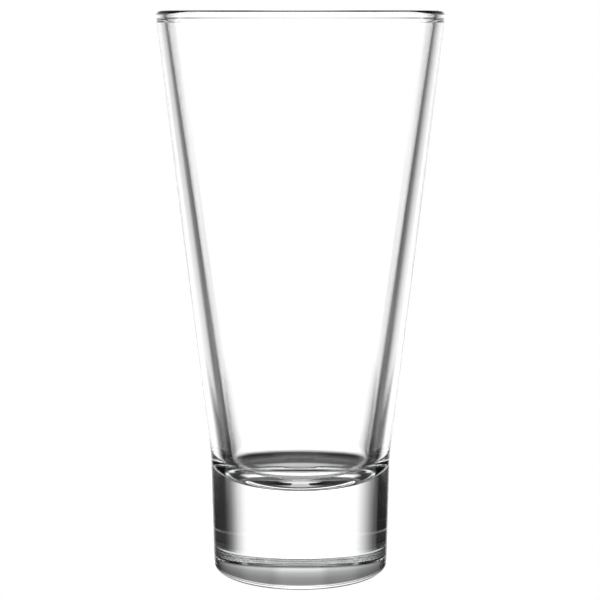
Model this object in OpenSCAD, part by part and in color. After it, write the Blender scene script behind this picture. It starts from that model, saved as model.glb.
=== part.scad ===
// Tall conical beer glass with a heavy foot, pressed in one piece.
// A tapering bowl flares from a short, almost straight foot of solid glass.
// The origin is the centre of the ring that it stands on, and +Z points to the mouth.

/* [Overall] */
// Height from the bearing ring to the top of the lip
height = 177; // [150:0.5:200]
// Outside diameter at the lip
mouth_d = 89.3; // [86:0.1:100]

/* [Lip] */
// Radius of the fire-polished lip, half the wall there
lip_r = 1.6; // [0.8:0.1:2]
// Radius of the shallow groove that runs round just below the lip
groove_r = 2; // [1:0.1:5]
// Depth of the groove in the outside of the wall
outer_groove_depth = 0.16; // [0.02:0.01:0.3]
// Depth of the groove in the inside of the wall
inner_groove_depth = 0.08; // [0.02:0.01:0.3]
// Radius of the shoulder where the groove runs out into the wall
groove_shoulder_r = 0.5; // [0.2:0.1:3]

/* [Foot] */
// Diameter of the foot at the bench, before its heel is rounded
foot_base_d = 55.6; // [50:0.1:57]
// Diameter of the waist, where the foot meets the bowl
waist_d = 57.3; // [57:0.1:64]
// Height of the waist
waist_z = 37.4; // [32:0.1:46]
// Radius that blends the foot into the bowl at the waist
waist_blend_r = 60; // [20:1:90]
// Radius of the rounded heel
heel_r = 2.5; // [1:0.1:6]

/* [Underside] */
// Diameter inside the flat ring that the glass stands on
bearing_inner_d = 38; // [30:0.5:42]
// Height of the shallow hollow under the foot
hollow_h = 0.4; // [0.2:0.1:1.5]

/* [Inside] */
// Height of the inside floor at the centre
floor_z = 28; // [22:0.5:32]
// Inside diameter that the straight wall would reach at the floor
floor_d = 41.3; // [38:0.1:44]
// Radius between the inside wall and the floor
floor_corner_r = 10; // [6:0.5:14]
// Radius of the floor's own shallow dish
floor_dish_r = 60; // [40:1:120]

/* [Hidden] */
// Facets of a full turn, and the largest step along each round of the outline in degrees
turn_fn = 240;
round_step = 10;
shallow_step = 1;

foot_base_r = foot_base_d / 2;
waist_r = waist_d / 2;
bearing_inner_r = bearing_inner_d / 2;
floor_r = floor_d / 2;

// The point at radius r and polar angle a from a centre
function around(centre, r, a) = centre + r * [cos(a), sin(a)];

// A round of the outline between two polar angles
function arc(centre, r, from, to, step) =
    let (count = ceil(abs(to - from) / step))
    [for (i = [0:count]) around(centre, r, from + (to - from) * i / count)];

// A straight side is held as its lean from the vertical, outwards going up,
// so its outward normal is at the polar angle -lean.
function up_the_side(lean) = [sin(lean), cos(lean)];

// Lean of the tangent from a point to a circle, on its outer (1) or inner (-1) side
function tangent_lean(from, centre, r, side) =
    let (v = centre - from)
    atan2(v.x, v.y) + side * asin(r / norm(v));

// Lip: a full round, on the line of both faces of the wall
lip_centre = [mouth_d / 2 - lip_r, height - lip_r];
waist = [waist_r, waist_z];
outer_lean = tangent_lean(waist, lip_centre, lip_r, 1);
inner_lean = tangent_lean([floor_r, floor_z], lip_centre, lip_r, -1);
outer_normal = -outer_lean;
inner_normal = 180 - inner_lean;

// Groove below the lip: a hollow round between the lip and a small shoulder on the wall.
// Distance down the wall between the centres of the hollow round and a full round beside it
function groove_drop(r, depth) = sqrt(2 * depth * (r + groove_r) - depth * depth);

// Polar angle that a round turns through before it meets the hollow round
function groove_turn(r, depth) = asin(groove_drop(r, depth) / (r + groove_r));

// The point that is far out of a wall face and low down the wall from the lip's centre
function off_wall(normal, far, low) =
    around(lip_centre, lip_r + far, normal) - low * up_the_side(normal > 90 ? inner_lean : outer_lean);

function hollow_centre_on(normal, depth) = off_wall(normal, groove_r - depth, groove_drop(lip_r, depth));

function shoulder_centre_on(normal, depth) =
    off_wall(normal, -groove_shoulder_r, groove_drop(lip_r, depth) + groove_drop(groove_shoulder_r, depth));

outer_dip = groove_turn(lip_r, outer_groove_depth);
outer_lift = groove_turn(groove_shoulder_r, outer_groove_depth);
inner_dip = groove_turn(lip_r, inner_groove_depth);
inner_lift = groove_turn(groove_shoulder_r, inner_groove_depth);

// Heel: a round between the bench and the side of the foot
foot_lean = atan2(waist_r - foot_base_r, waist_z);
heel_centre = [foot_base_r - heel_r * (1 - sin(foot_lean)) / cos(foot_lean), heel_r];

// Waist: a wide hollow round between the foot's side and the bowl's
waist_reach = waist_blend_r * tan((outer_lean - foot_lean) / 2);
waist_low = waist - waist_reach * up_the_side(foot_lean);
waist_centre = around(waist_low, waist_blend_r, -foot_lean);

// Inside corner: a round tangent to the wall and to the dished floor. Its centre is on a
// line one corner radius inside the wall, where the dish's circle just takes the round in.
dish_centre = [0, floor_z + floor_dish_r];
corner_line = around([floor_r, floor_z], floor_corner_r, 180 - inner_lean);
line_from_dish = corner_line - dish_centre;
along = line_from_dish * up_the_side(inner_lean);
short_of = line_from_dish * line_from_dish - pow(floor_dish_r - floor_corner_r, 2);
corner_centre = corner_line - (along + sqrt(along * along - short_of)) * up_the_side(inner_lean);
corner_start = atan2(corner_centre.y - dish_centre.y, corner_centre.x);

// Underside: the hollow is a shallow cap of a large sphere
hollow_r = (bearing_inner_r * bearing_inner_r + hollow_h * hollow_h) / (2 * hollow_h);
hollow_centre = [0, hollow_h - hollow_r];

// Half outline of the glass: under the foot, up the outside, over the lip and down the inside
glass_outline = concat(
    arc(hollow_centre, hollow_r, 90, acos(bearing_inner_r / hollow_r), shallow_step),
    arc(heel_centre, heel_r, -90, -foot_lean, round_step),
    arc(waist_centre, waist_blend_r, 180 - foot_lean, 180 - outer_lean, shallow_step),
    arc(shoulder_centre_on(outer_normal, outer_groove_depth), groove_shoulder_r,
        outer_normal, outer_normal + outer_lift, round_step),
    arc(hollow_centre_on(outer_normal, outer_groove_depth), groove_r,
        180 + outer_normal + outer_lift, 180 + outer_normal - outer_dip, round_step),
    arc(lip_centre, lip_r, outer_normal - outer_dip, inner_normal + inner_dip, round_step),
    arc(hollow_centre_on(inner_normal, inner_groove_depth), groove_r,
        inner_normal - 180 + inner_dip, inner_normal - 180 - inner_lift, round_step),
    arc(shoulder_centre_on(inner_normal, inner_groove_depth), groove_shoulder_r,
        inner_normal - inner_lift, inner_normal, round_step),
    arc(corner_centre, floor_corner_r, -inner_lean, corner_start, round_step / 2),
    arc(dish_centre, floor_dish_r, corner_start, -90, shallow_step * 3)
);

module glass_body() {
    color([0.90, 0.94, 0.93, 0.4])
    rotate_extrude($fn = turn_fn)
    polygon(glass_outline);
}

glass_body();
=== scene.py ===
import math

import bmesh
import bpy
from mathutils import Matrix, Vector


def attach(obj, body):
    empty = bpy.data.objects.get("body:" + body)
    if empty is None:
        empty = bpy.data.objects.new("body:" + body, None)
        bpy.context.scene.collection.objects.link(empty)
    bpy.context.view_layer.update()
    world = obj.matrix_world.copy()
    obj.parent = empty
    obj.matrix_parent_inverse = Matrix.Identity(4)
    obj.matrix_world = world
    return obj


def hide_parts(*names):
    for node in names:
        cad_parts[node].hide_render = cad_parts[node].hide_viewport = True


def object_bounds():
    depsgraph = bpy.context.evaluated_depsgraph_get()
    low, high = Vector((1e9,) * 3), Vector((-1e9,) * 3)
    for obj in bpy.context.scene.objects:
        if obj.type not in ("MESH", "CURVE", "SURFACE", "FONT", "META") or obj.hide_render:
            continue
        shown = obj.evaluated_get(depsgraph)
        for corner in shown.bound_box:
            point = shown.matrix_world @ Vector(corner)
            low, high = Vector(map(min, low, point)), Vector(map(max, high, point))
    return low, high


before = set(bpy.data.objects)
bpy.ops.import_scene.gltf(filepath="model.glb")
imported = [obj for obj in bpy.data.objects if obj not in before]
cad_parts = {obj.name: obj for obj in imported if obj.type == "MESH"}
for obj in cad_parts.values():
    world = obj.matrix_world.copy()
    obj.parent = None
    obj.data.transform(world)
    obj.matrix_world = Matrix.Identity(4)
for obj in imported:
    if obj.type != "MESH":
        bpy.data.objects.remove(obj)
cad_low, cad_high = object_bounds()

MM = 0.001

# ---------------------------------------------------------------- the glass's sizes
HEIGHT = cad_high.z
MOUTH_R = cad_high.x
LIP_R = 1.6 * MM
GROOVE_R = 2 * MM
OUTER_GROOVE_DEPTH = 0.16 * MM
INNER_GROOVE_DEPTH = 0.08 * MM
GROOVE_SHOULDER_R = 0.5 * MM
FOOT_BASE_R = 27.8 * MM
WAIST_R = 28.65 * MM
WAIST_Z = 37.4 * MM
WAIST_BLEND_R = 60 * MM
HEEL_R = 2.5 * MM
BEARING_INNER_R = 19 * MM
HOLLOW_H = 0.4 * MM
FLOOR_Z = 28 * MM
FLOOR_R = 20.65 * MM
FLOOR_CORNER_R = 10 * MM
FLOOR_DISH_R = 60 * MM

# Steps of the mesh round the glass, and along each straight wall, foot side and standing ring
TURN_STEPS = 360
WALL_STEPS = 26
FOOT_SIDE_STEPS = 13
RING_STEPS = 6

# ---------------------------------------------------------------- the glass's outline


def around(centre, r, angle):
    """The point at a radius and an angle from a centre."""
    return Vector((centre.x + r * math.cos(angle), centre.y + r * math.sin(angle)))


def arc(centre, r, start, end, steps):
    """The points of a round between two angles, with both ends."""
    return [around(centre, r, start + (end - start) * i / steps) for i in range(steps + 1)]


def straight(start, end, steps):
    """The points between two ends, without the ends. They are closest at the ends, where rounds meet it."""
    return [start.lerp(end, (1 - math.cos(math.pi * i / steps)) / 2) for i in range(1, steps)]


def joined(*arcs):
    """Arcs that meet end to end, with each shared point once."""
    points = list(arcs[0])
    for part in arcs[1:]:
        points += part[1:]
    return points


def tangent_lean(start, centre, r, side):
    """Lean from the vertical of the tangent from a point to a circle, on its outer (1) or inner (-1) side."""
    v = centre - start
    return math.atan2(v.x, v.y) + side * math.asin(r / v.length)


def up_the_side(lean):
    """The direction up a face that leans outwards by this angle."""
    return Vector((math.sin(lean), math.cos(lean)))


LIP = Vector((MOUTH_R - LIP_R, HEIGHT - LIP_R))
WAIST = Vector((WAIST_R, WAIST_Z))
OUTER_LEAN = tangent_lean(WAIST, LIP, LIP_R, 1)
INNER_LEAN = tangent_lean(Vector((FLOOR_R, FLOOR_Z)), LIP, LIP_R, -1)
FOOT_LEAN = math.atan2(WAIST_R - FOOT_BASE_R, WAIST_Z)


def groove(normal, lean, depth):
    """The hollow's and the shoulder's centres below the lip, and how far each of them turns."""
    def drop(r):
        return math.sqrt(2 * depth * (r + GROOVE_R) - depth * depth)

    def off_wall(far, low):
        return around(LIP, LIP_R + far, normal) - low * up_the_side(lean)

    to_hollow = drop(LIP_R)
    to_shoulder = drop(GROOVE_SHOULDER_R)
    hollow = off_wall(GROOVE_R - depth, to_hollow)
    shoulder = off_wall(-GROOVE_SHOULDER_R, to_hollow + to_shoulder)
    dip = math.asin(to_hollow / (LIP_R + GROOVE_R))
    lift = math.asin(to_shoulder / (GROOVE_SHOULDER_R + GROOVE_R))
    return hollow, shoulder, dip, lift


def rim_outline():
    """Up the outer face's groove, over the lip and down the inner face's groove."""
    out_n = -OUTER_LEAN
    in_n = math.pi - INNER_LEAN
    out_hollow, out_shoulder, out_dip, out_lift = groove(out_n, OUTER_LEAN, OUTER_GROOVE_DEPTH)
    in_hollow, in_shoulder, in_dip, in_lift = groove(in_n, INNER_LEAN, INNER_GROOVE_DEPTH)
    return joined(
        arc(out_shoulder, GROOVE_SHOULDER_R, out_n, out_n + out_lift, 6),
        arc(out_hollow, GROOVE_R, math.pi + out_n + out_lift, math.pi + out_n - out_dip, 10),
        arc(LIP, LIP_R, out_n - out_dip, in_n + in_dip, 48),
        arc(in_hollow, GROOVE_R, in_n - math.pi + in_dip, in_n - math.pi - in_lift, 10),
        arc(in_shoulder, GROOVE_SHOULDER_R, in_n - in_lift, in_n, 6),
    )


def inside_outline():
    """The inside corner and the dished floor, to the middle."""
    dish = Vector((0, FLOOR_Z + FLOOR_DISH_R))
    line = around(Vector((FLOOR_R, FLOOR_Z)), FLOOR_CORNER_R, math.pi - INNER_LEAN)
    up = up_the_side(INNER_LEAN)
    along = (line - dish).dot(up)
    short_of = (line - dish).length_squared - (FLOOR_DISH_R - FLOOR_CORNER_R) ** 2
    corner = line - (along + math.sqrt(along * along - short_of)) * up
    corner_start = math.atan2(corner.y - dish.y, corner.x)
    return joined(
        arc(corner, FLOOR_CORNER_R, -INNER_LEAN, corner_start, 32),
        arc(dish, FLOOR_DISH_R, corner_start, -math.pi / 2, 24),
    )


def foot_outline():
    """From the middle of the underside to the top of the waist's round."""
    hollow_r = (BEARING_INNER_R ** 2 + HOLLOW_H ** 2) / (2 * HOLLOW_H)
    underside = arc(Vector((0, HOLLOW_H - hollow_r)), hollow_r, math.pi / 2,
                    math.acos(BEARING_INNER_R / hollow_r), 24)
    heel = Vector((FOOT_BASE_R - HEEL_R * (1 - math.sin(FOOT_LEAN)) / math.cos(FOOT_LEAN), HEEL_R))
    heel_round = arc(heel, HEEL_R, -math.pi / 2, -FOOT_LEAN, 24)
    reach = WAIST_BLEND_R * math.tan((OUTER_LEAN - FOOT_LEAN) / 2)
    waist_centre = around(WAIST - reach * up_the_side(FOOT_LEAN), WAIST_BLEND_R, -FOOT_LEAN)
    waist_round = arc(waist_centre, WAIST_BLEND_R, math.pi - FOOT_LEAN, math.pi - OUTER_LEAN, 16)
    return (
        underside
        + straight(underside[-1], heel_round[0], RING_STEPS)
        + heel_round
        + straight(heel_round[-1], waist_round[0], FOOT_SIDE_STEPS)
        + waist_round
    )


def glass_outline():
    """Half outline of the glass: under the foot, up the outside, over the lip and down the inside."""
    foot = foot_outline()
    rim = rim_outline()
    inside = inside_outline()
    return (
        foot
        + straight(foot[-1], rim[0], WALL_STEPS)
        + rim
        + straight(rim[-1], inside[0], WALL_STEPS)
        + inside
    )


# ---------------------------------------------------------------- the glass's mesh
def lathe(name, outline):
    """A closed mesh round Z from a half outline that starts and ends on the axis."""
    bm = bmesh.new()
    bottom = bm.verts.new((0, 0, outline[0].y))
    top = bm.verts.new((0, 0, outline[-1].y))
    spokes = []
    for i in range(TURN_STEPS):
        a = 2 * math.pi * i / TURN_STEPS
        spokes.append([bm.verts.new((p.x * math.cos(a), p.x * math.sin(a), p.y)) for p in outline[1:-1]])
    for here, there in zip(spokes, spokes[1:] + spokes[:1]):
        bm.faces.new((bottom, there[0], here[0]))
        bm.faces.new((top, here[-1], there[-1]))
        for k in range(len(here) - 1):
            bm.faces.new((here[k], there[k], there[k + 1], here[k + 1]))
    bmesh.ops.recalc_face_normals(bm, faces=bm.faces)
    for face in bm.faces:
        face.smooth = True
    mesh = bpy.data.meshes.new(name)
    bm.to_mesh(mesh)
    bm.free()
    piece = bpy.data.objects.new(name, mesh)
    bpy.context.collection.objects.link(piece)
    return piece


# ---------------------------------------------------------------- materials
GLASS_IOR = 1.52
GLASS_TINT = (0.90, 1.0, 0.94, 1)
TINT_DENSITY = 2.0
# The mould left slow waves and finer ripples in the surface, both drawn out round the glass.
UPRIGHT_SQUEEZE = 5
WAVE_SCALE = 60
RIPPLE_SCALE = 260
RIPPLE_SHARE = 0.15
BUMP_STRENGTH = 0.3
BUMP_DISTANCE = 0.02 * MM


def new_material(name):
    material = bpy.data.materials.new(name)
    material.use_nodes = True
    return material, material.node_tree.nodes, material.node_tree.links


def new_noise(nodes, links, coordinates, scale, detail):
    noise = nodes.new("ShaderNodeTexNoise")
    noise.inputs["Scale"].default_value = scale
    noise.inputs["Detail"].default_value = detail
    links.new(coordinates, noise.inputs["Vector"])
    return noise.outputs["Fac"]


def clear_glass():
    """Clear soda-lime glass, with the faint waves and fine ripples that a mould leaves."""
    material, nodes, links = new_material("clear_glass")
    shader = nodes["Principled BSDF"]
    shader.inputs["Base Color"].default_value = (1, 1, 1, 1)
    shader.inputs["Roughness"].default_value = 0.0
    shader.inputs["IOR"].default_value = GLASS_IOR
    shader.inputs["Transmission Weight"].default_value = 1.0
    tint = nodes.new("ShaderNodeVolumeAbsorption")
    tint.inputs["Color"].default_value = GLASS_TINT
    tint.inputs["Density"].default_value = TINT_DENSITY
    links.new(tint.outputs["Volume"], nodes["Material Output"].inputs["Volume"])

    place = nodes.new("ShaderNodeTexCoord").outputs["Object"]
    stretch = nodes.new("ShaderNodeMapping")
    stretch.inputs["Scale"].default_value = (1, 1, UPRIGHT_SQUEEZE)
    links.new(place, stretch.inputs["Vector"])
    waves = new_noise(nodes, links, stretch.outputs["Vector"], WAVE_SCALE, 1)
    ripples = new_noise(nodes, links, stretch.outputs["Vector"], RIPPLE_SCALE, 2)
    faint = nodes.new("ShaderNodeMath")
    faint.operation = "MULTIPLY_ADD"
    faint.inputs[1].default_value = RIPPLE_SHARE
    links.new(ripples, faint.inputs[0])
    links.new(waves, faint.inputs[2])
    bump = nodes.new("ShaderNodeBump")
    bump.inputs["Strength"].default_value = BUMP_STRENGTH
    bump.inputs["Distance"].default_value = BUMP_DISTANCE
    links.new(faint.outputs[0], bump.inputs["Height"])
    links.new(bump.outputs["Normal"], shader.inputs["Normal"])
    return material


def glow(name, strength):
    material, nodes, links = new_material(name)
    nodes.remove(nodes["Principled BSDF"])
    light = nodes.new("ShaderNodeEmission")
    light.inputs["Strength"].default_value = strength
    links.new(light.outputs["Emission"], nodes["Material Output"].inputs["Surface"])
    return material, nodes, links, light


# ---------------------------------------------------------------- the light
# The glass stands in a large round tent of light that fades to dark corners. The tent stands still.
# Angles are in degrees from the middle of the glass: rise is up from level, azimuth is round from
# the far side to the right, and turn is azimuth to either side. Each curve is {angle: level}, with
# straight lines between.

# How bright the tent is by rise, behind the glass, at its sides and in front
BACK_RISE = {
    -90: 0.6, -60: 0.6, -55: 0.1, -45: 0.14, -38: 0.02, -36: 0.1, -33: 1.0, -31: 1.5, -28: 1.7,
    8: 1.7, 10: 1.0, 14: 0.53, 18: 0.33, 22: 0.28, 28: 0.03, 38: 0.22, 52: 0.35, 62: 0.05, 90: 0.05,
}
SIDE_RISE = {
    -90: 0.9, -62: 0.9, -55: 0.02, -23: 0.02, -21: 0.9, 8: 0.9, 12: 0.5, 20: 0.05, 54: 0.1, 62: 1.1, 90: 1.1,
}
FRONT_RISE = {
    -90: 0.9, -62: 0.9, -55: 0.02, -8: 0.02, -6.5: 1.0, 8: 1.0, 10: 0.2, 15: 0.15, 17: 0.02,
    40: 0.05, 54: 0.1, 62: 1.1, 90: 1.1,
}
# Where the back gives way to the sides, and the sides to the front, by turn
SIDE_TURN = {0: 0, 65: 0, 75: 1, 180: 1}
FRONT_TURN = {0: 0, 130: 0, 155: 1, 180: 1}

# How much of the light passes the screens near the glass, by azimuth. Both screens open again by
# turn, towards the front. The bowl's light passes above the table, and the foot's light below it.
BOWL_SCREEN = {
    -90: 0.02, -61: 0.05, -55: 0.08, -52: 0.12, -49: 0.28, -46: 0.4, -37: 0.48, -31: 0.55, -25: 0.65,
    -12: 0.72, -8: 1.0, 8: 1.0, 12: 0.72,
    25: 0.65, 31: 0.55, 37: 0.49, 43: 0.4, 49: 0.24, 52: 0.13, 55: 0.07, 61: 0.04, 90: 0.02,
}
BOWL_OPEN_TURN = {0: 0, 76: 0, 82: 1, 180: 1}
FOOT_SCREEN = {
    -90: 0.01, -43: 0.01, -42: 0.045, -38: 0.085, -34.5: 0.19, -31: 0.35, -28: 0.5, -26: 0.6,
    -18: 0.8, -8: 1.0, 8: 1.0, 18: 0.8, 26: 0.57, 29: 0.42, 31.5: 0.26, 34.5: 0.12, 38: 0.05,
    41: 0.02, 90: 0.01,
}
FOOT_OPEN_TURN = {0: 0, 104: 0, 116: 1, 180: 1}

# Share of the bowl's screen by height in mm from the middle of the glass. It changes at the table.
TABLE_SHARE = {-180: 0, -95: 0, -80: 1, 180: 1}

SCREEN_X = 125 * MM
SCREEN_FRONT = -150 * MM
SCREEN_BACK = 2500 * MM
SCREEN_H = 1000 * MM
TENT_R = 3000 * MM


def set_curve(node, points):
    """Straight lines through the points, with the lowest angle at 0 and the highest at 1."""
    curve = node.mapping.curves[0]
    node.mapping.use_clip = False
    low, high = min(points), max(points)
    while len(curve.points) < len(points):
        curve.points.new(0, 0)
    for point, angle in zip(curve.points, sorted(points)):
        point.location = ((angle - low) / (high - low), points[angle])
        point.handle_type = "VECTOR"
    node.mapping.update()


class Maths:
    """Makes a material's maths nodes, starting from the direction seen from the middle of the glass."""

    def __init__(self, nodes, links):
        self.nodes = nodes
        self.links = links
        split = nodes.new("ShaderNodeSeparateXYZ")
        links.new(nodes.new("ShaderNodeTexCoord").outputs["Object"], split.inputs[0])
        x, y, self.height = split.outputs
        flat = self.do("SQRT", self.do("ADD", self.do("MULTIPLY", x, x), self.do("MULTIPLY", y, y)))
        self.azimuth = self.do("DEGREES", self.do("ARCTAN2", x, y))
        self.turn = self.do("ABSOLUTE", self.azimuth)
        self.rise = self.do("DEGREES", self.do("ARCTAN2", self.height, flat))

    def do(self, operation, *inputs):
        node = self.nodes.new("ShaderNodeMath")
        node.operation = operation
        for socket, value in zip(node.inputs, inputs):
            if isinstance(value, (int, float)):
                socket.default_value = value
            else:
                self.links.new(value, socket)
        return node.outputs[0]

    def curve(self, value, points):
        node = self.nodes.new("ShaderNodeFloatCurve")
        set_curve(node, points)
        low, high = min(points), max(points)
        self.links.new(self.do("DIVIDE", self.do("SUBTRACT", value, low), high - low), node.inputs["Value"])
        return node.outputs[0]

    def mixed(self, first, second, share):
        first_part = self.do("MULTIPLY", first, self.do("SUBTRACT", 1, share))
        return self.do("ADD", first_part, self.do("MULTIPLY", second, share))


def tent_material():
    """Light whose strength depends on the direction from the middle of the glass."""
    material, nodes, links, light = glow("light_tent", 1.0)
    maths = Maths(nodes, links)
    back = maths.curve(maths.rise, BACK_RISE)
    side = maths.curve(maths.rise, SIDE_RISE)
    front = maths.curve(maths.rise, FRONT_RISE)
    back_and_side = maths.mixed(back, side, maths.curve(maths.turn, SIDE_TURN))
    level = maths.mixed(back_and_side, front, maths.curve(maths.turn, FRONT_TURN))
    links.new(level, light.inputs["Strength"])
    return material


def screen_material():
    """A clear sheet that lets part of the light through, by the direction from the middle of the glass."""
    material, nodes, links = new_material("screen")
    nodes.remove(nodes["Principled BSDF"])
    pass_through = nodes.new("ShaderNodeBsdfTransparent")
    links.new(pass_through.outputs[0], nodes["Material Output"].inputs["Surface"])
    maths = Maths(nodes, links)
    bowl = maths.do("ADD", maths.curve(maths.azimuth, BOWL_SCREEN), maths.curve(maths.turn, BOWL_OPEN_TURN))
    foot = maths.do("ADD", maths.curve(maths.azimuth, FOOT_SCREEN), maths.curve(maths.turn, FOOT_OPEN_TURN))
    share = maths.curve(maths.do("DIVIDE", maths.height, MM), TABLE_SHARE)
    links.new(maths.mixed(foot, bowl, share), pass_through.inputs["Color"])
    return material


def stage_piece(name, bm, material):
    """Part of the studio, which is not part of the object."""
    mesh = bpy.data.meshes.new(name)
    bm.to_mesh(mesh)
    bm.free()
    piece = bpy.data.objects.new(name, mesh)
    bpy.context.collection.objects.link(piece)
    piece.data.materials.append(material)
    return piece


def floor():
    """A plain white floor at the glass's foot. The glass itself sees the tent instead of it."""
    bm = bmesh.new()
    bmesh.ops.create_grid(bm, x_segments=8, y_segments=8, size=2 * TENT_R)
    piece = stage_piece("floor", bm, glow("pale_floor", 1.0)[0])
    piece.location.z = cad_low.z
    piece.visible_transmission = False
    piece.visible_glossy = False


def studio():
    """The light tent and the side screens, with their middle in the middle of the glass."""
    tent = bmesh.new()
    bmesh.ops.create_uvsphere(tent, u_segments=64, v_segments=32, radius=TENT_R)
    screens = bmesh.new()
    for x in (-SCREEN_X, SCREEN_X):
        corners = ((SCREEN_FRONT, -SCREEN_H), (SCREEN_BACK, -SCREEN_H),
                   (SCREEN_BACK, SCREEN_H), (SCREEN_FRONT, SCREEN_H))
        screens.faces.new([screens.verts.new((x, y, z)) for y, z in corners])
    pieces = (
        stage_piece("light_tent", tent, tent_material()),
        stage_piece("side_screens", screens, screen_material()),
    )
    for piece in pieces:
        piece.location = (0, 0, HEIGHT / 2)
        piece.visible_camera = False
        piece.visible_diffuse = False
        piece.visible_shadow = False


def white_room():
    """A plain white background."""
    world = bpy.data.worlds.new("white_room")
    world.use_nodes = True
    world.node_tree.nodes["Background"].inputs["Color"].default_value = (1, 1, 1, 1)
    world.node_tree.nodes["Background"].inputs["Strength"].default_value = 1.0
    bpy.context.scene.world = world
    bpy.context.scene.view_settings.view_transform = "Standard"


# ---------------------------------------------------------------- the glass
body = lathe("clear_glass_body", glass_outline())
body.data.materials.append(clear_glass())
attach(body, "root")
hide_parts("glass_body")

# ---------------------------------------------------------------- the camera
CAMERA_DISTANCE = 601.4 * MM
CAMERA_SIDE = -0.125 * MM
CAMERA_TILT = math.radians(8.542)
camera_data = bpy.data.cameras.new("camera")
camera_data.sensor_width = 36
camera_data.lens = 115.72
camera = bpy.data.objects.new("camera", camera_data)
camera.location = (CAMERA_SIDE, -CAMERA_DISTANCE, HEIGHT)
camera.rotation_euler = (math.pi / 2 - CAMERA_TILT, 0, 0)
bpy.context.collection.objects.link(camera)
bpy.context.scene.camera = camera

# ---------------------------------------------------------------- the studio
floor()
studio()
white_room()
bpy.context.scene.cycles.max_bounces = 24
bpy.context.scene.cycles.transmission_bounces = 24
bpy.context.scene.cycles.glossy_bounces = 16
